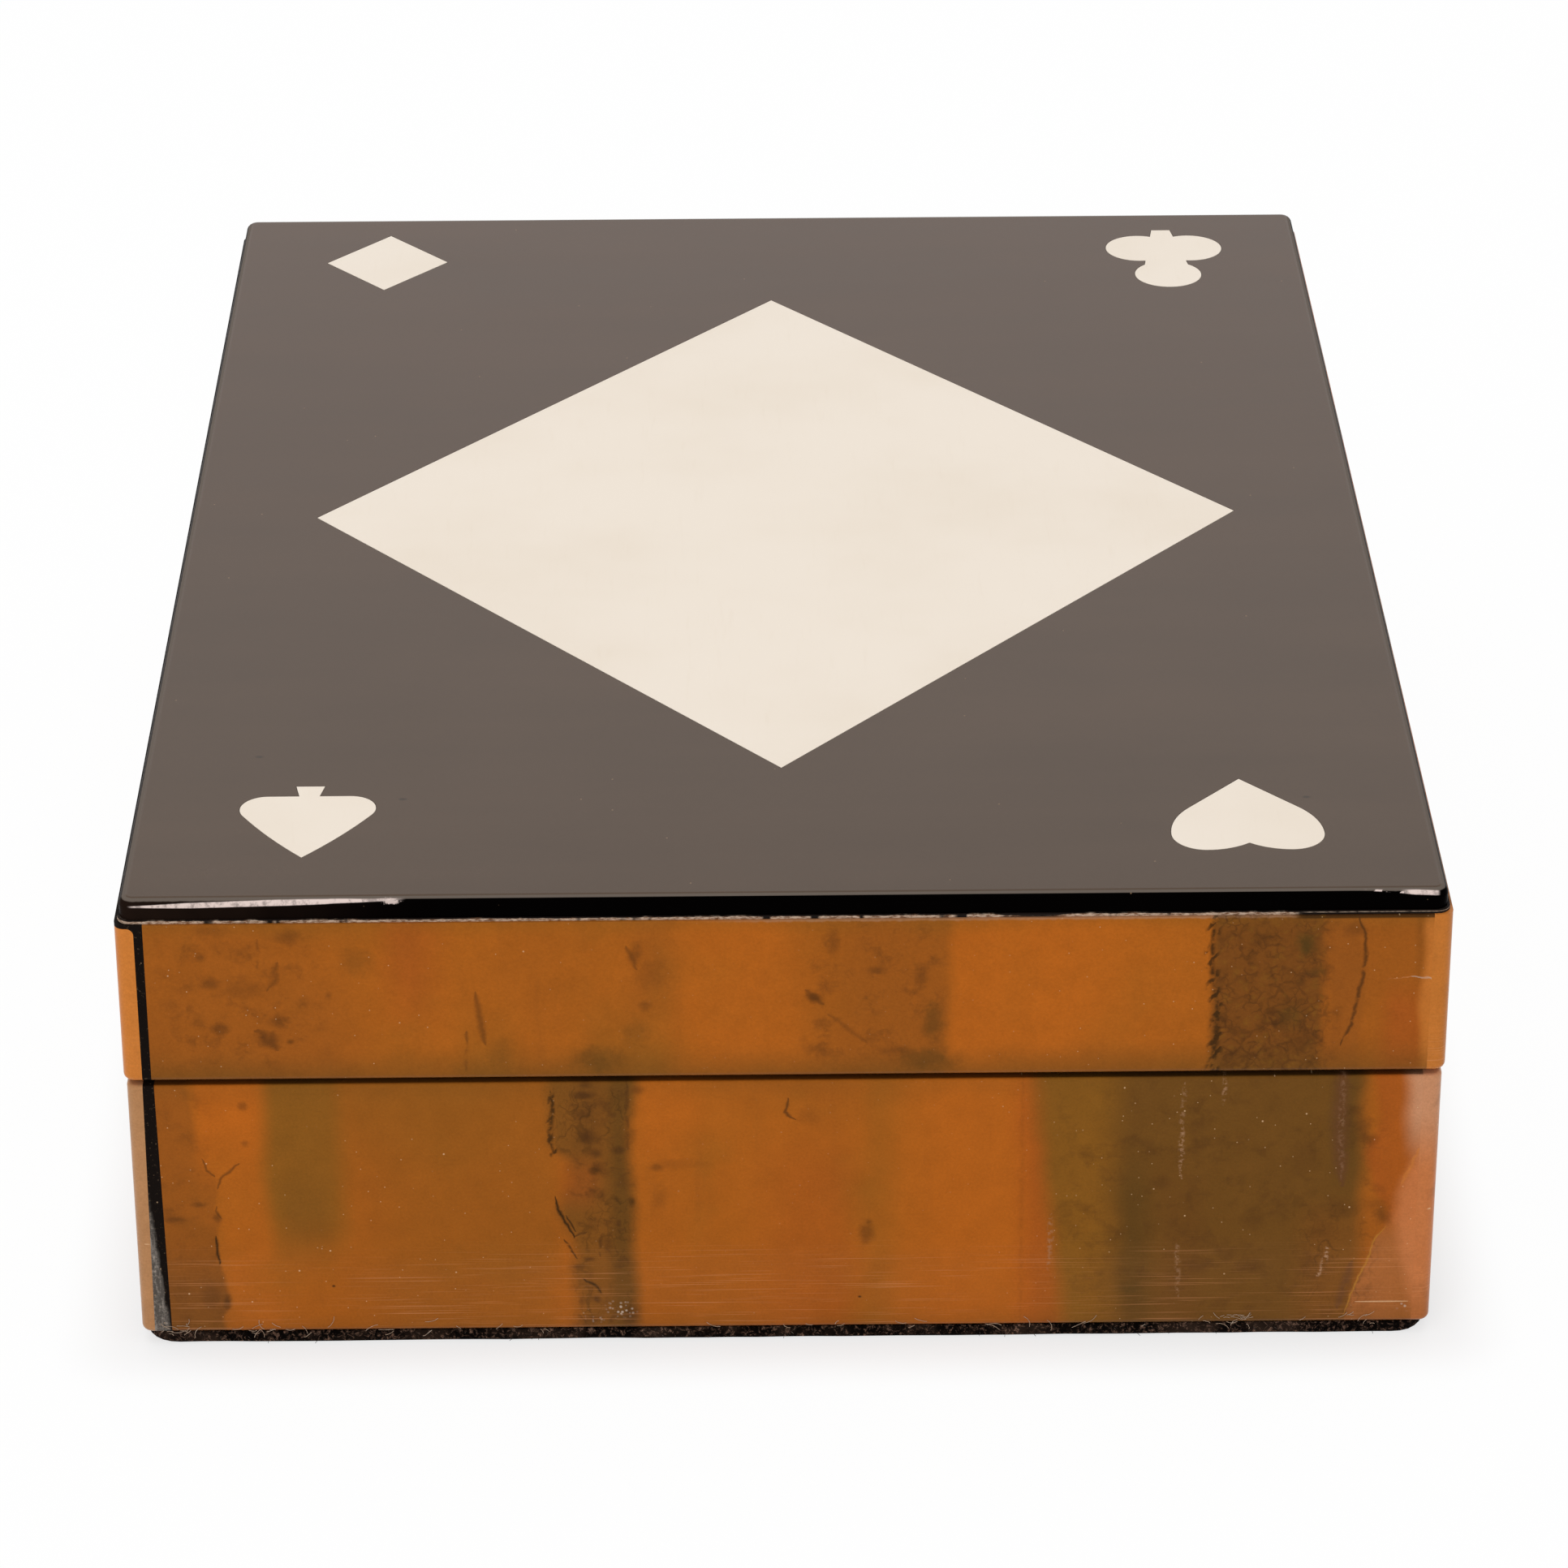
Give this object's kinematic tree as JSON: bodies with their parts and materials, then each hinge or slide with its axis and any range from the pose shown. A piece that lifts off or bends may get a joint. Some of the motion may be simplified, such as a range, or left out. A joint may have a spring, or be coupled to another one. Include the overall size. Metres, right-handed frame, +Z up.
{
  "type": "playing card box",
  "caption": "Rectangular playing-card box with a lift-off lid: amber horn veneer on a wooden carcass, black horn top inlaid with bone card suits, felt underside.",
  "frame": {"origin": "middle of the felt underside, on the table", "axes": "+X to the right along the pictured front, +Y away from it, +Z up"},
  "size_m": [0.116, 0.158, 0.0452],
  "materials": {
    "black_horn": "polished",
    "amber_horn": "gloss",
    "bone_inlay": "satin",
    "black_filler": "satin",
    "glue_line": "matte",
    "carcass_wood": "satin",
    "liner_wood": "satin",
    "well_felt": "matte",
    "black_felt": "matte"
  },
  "bodies": {
    "base": {"base_front_wall": "carcass_wood", "base_back_wall": "carcass_wood", "base_left_wall": "carcass_wood", "base_right_wall": "carcass_wood", "base_bottom_board": "carcass_wood", "liner_front": "liner_wood", "liner_back": "liner_wood", "liner_left": "liner_wood", "liner_right": "liner_wood", "well_divider": "liner_wood", "front_well_lining": "well_felt", "back_well_lining": "well_felt", "base_front_veneer": "amber_horn", "base_back_veneer": "amber_horn", "base_left_veneer": "amber_horn", "base_right_veneer": "amber_horn", "base_corner_seams": "black_filler", "base_felt": "black_felt"},
    "lid": {"lid_top_plate": "black_horn", "inlay_centre_diamond": "bone_inlay", "inlay_small_diamond": "bone_inlay", "inlay_club": "bone_inlay", "inlay_spade": "bone_inlay", "inlay_heart": "bone_inlay", "lid_glue_bed": "glue_line", "lid_top_board": "carcass_wood", "lid_front_wall": "carcass_wood", "lid_back_wall": "carcass_wood", "lid_left_wall": "carcass_wood", "lid_right_wall": "carcass_wood", "lid_front_veneer": "amber_horn", "lid_back_veneer": "amber_horn", "lid_left_veneer": "amber_horn", "lid_right_veneer": "amber_horn", "lid_corner_seams": "black_filler", "lid_lining": "well_felt"}
  },
  "joints": [
    {"name": "lid_lift", "type": "slide", "parent": "base", "child": "lid", "axis": [0, 0, 1], "range_m": [0, 0.08]}
  ]
}
